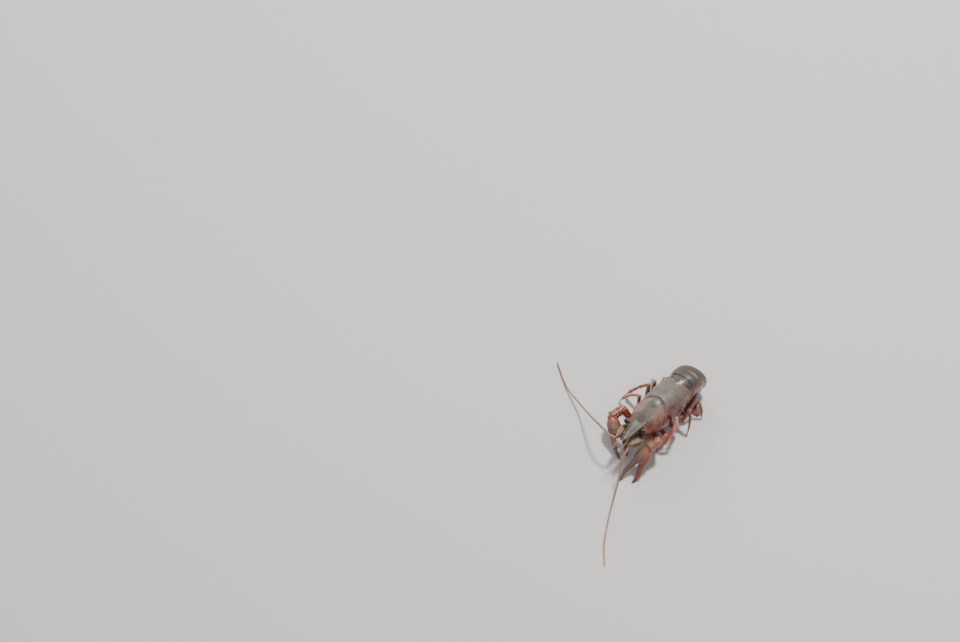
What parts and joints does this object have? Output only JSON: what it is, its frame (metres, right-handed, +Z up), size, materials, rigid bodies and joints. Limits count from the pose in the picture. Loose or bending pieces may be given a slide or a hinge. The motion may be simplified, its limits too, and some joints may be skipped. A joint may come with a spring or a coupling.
{
  "type": "crayfish",
  "caption": "Life-size standing crayfish with curled tail, spread walking legs, one open claw forward and one folded under the head, with long curved feelers.",
  "frame": {"origin": "on the floor, under the middle of the model's bounding box", "axes": "+X to the animal's left, +Y towards its tail, +Z up; the head faces -Y"},
  "size_m": [0.1062, 0.1304, 0.0264],
  "materials": {
    "carapace": "wet, mud-filmed grey-brown shell",
    "belly": "wet, pale reddish brown",
    "eye_stalk": "wet, brown-red",
    "eye": "high gloss black",
    "feeler": "satin, mud-filmed pale tan",
    "claw": "wet, deep red with a mud film",
    "leg": "wet, salmon red",
    "tail": "wet, mud-filmed grey-brown shell",
    "fan": "wet, dark red"
  },
  "bodies": {
    "root": {"carapace": "carapace", "sternum": "belly", "epistome": "belly", "maxilliped_L": "belly", "maxilliped_R": "belly", "eye_stalk_L": "eye_stalk", "eye_stalk_R": "eye_stalk", "eye_L": "eye", "eye_R": "eye", "antennule_L": "feeler", "antennule_R": "feeler", "antenna_root_L": "feeler", "antenna_root_R": "feeler", "antenna_scale_L": "feeler", "antenna_scale_R": "feeler", "antenna_1_L": "feeler", "antenna_2_L": "feeler", "antenna_3_L": "feeler", "antenna_1_R": "feeler", "antenna_2_R": "feeler", "antenna_3_R": "feeler", "claw_base_L": "claw", "claw_arm_L": "claw", "claw_wrist_L": "claw", "claw_palm_L": "claw", "claw_finger_L": "claw", "claw_base_R": "claw", "claw_arm_R": "claw", "claw_wrist_R": "claw", "claw_palm_R": "claw", "claw_finger_R": "claw", "leg_2_L_upper": "leg", "leg_2_L_lower": "leg", "leg_3_L_upper": "leg", "leg_3_L_lower": "leg", "leg_4_L_upper": "leg", "leg_4_L_lower": "leg", "leg_5_L_upper": "leg", "leg_5_L_lower": "leg", "leg_2_R_upper": "leg", "leg_2_R_lower": "leg", "leg_3_R_upper": "leg", "leg_3_R_lower": "leg", "leg_4_R_upper": "leg", "leg_4_R_lower": "leg", "leg_5_R_upper": "leg", "leg_5_R_lower": "leg", "abdomen_1": "tail", "abdomen_2": "tail", "abdomen_3": "tail", "abdomen_4": "tail", "abdomen_5": "tail", "abdomen_6": "tail", "telson": "fan", "uropod_inner_L": "fan", "uropod_inner_R": "fan", "uropod_outer_L": "fan", "uropod_outer_R": "fan"}
  },
  "joints": []
}
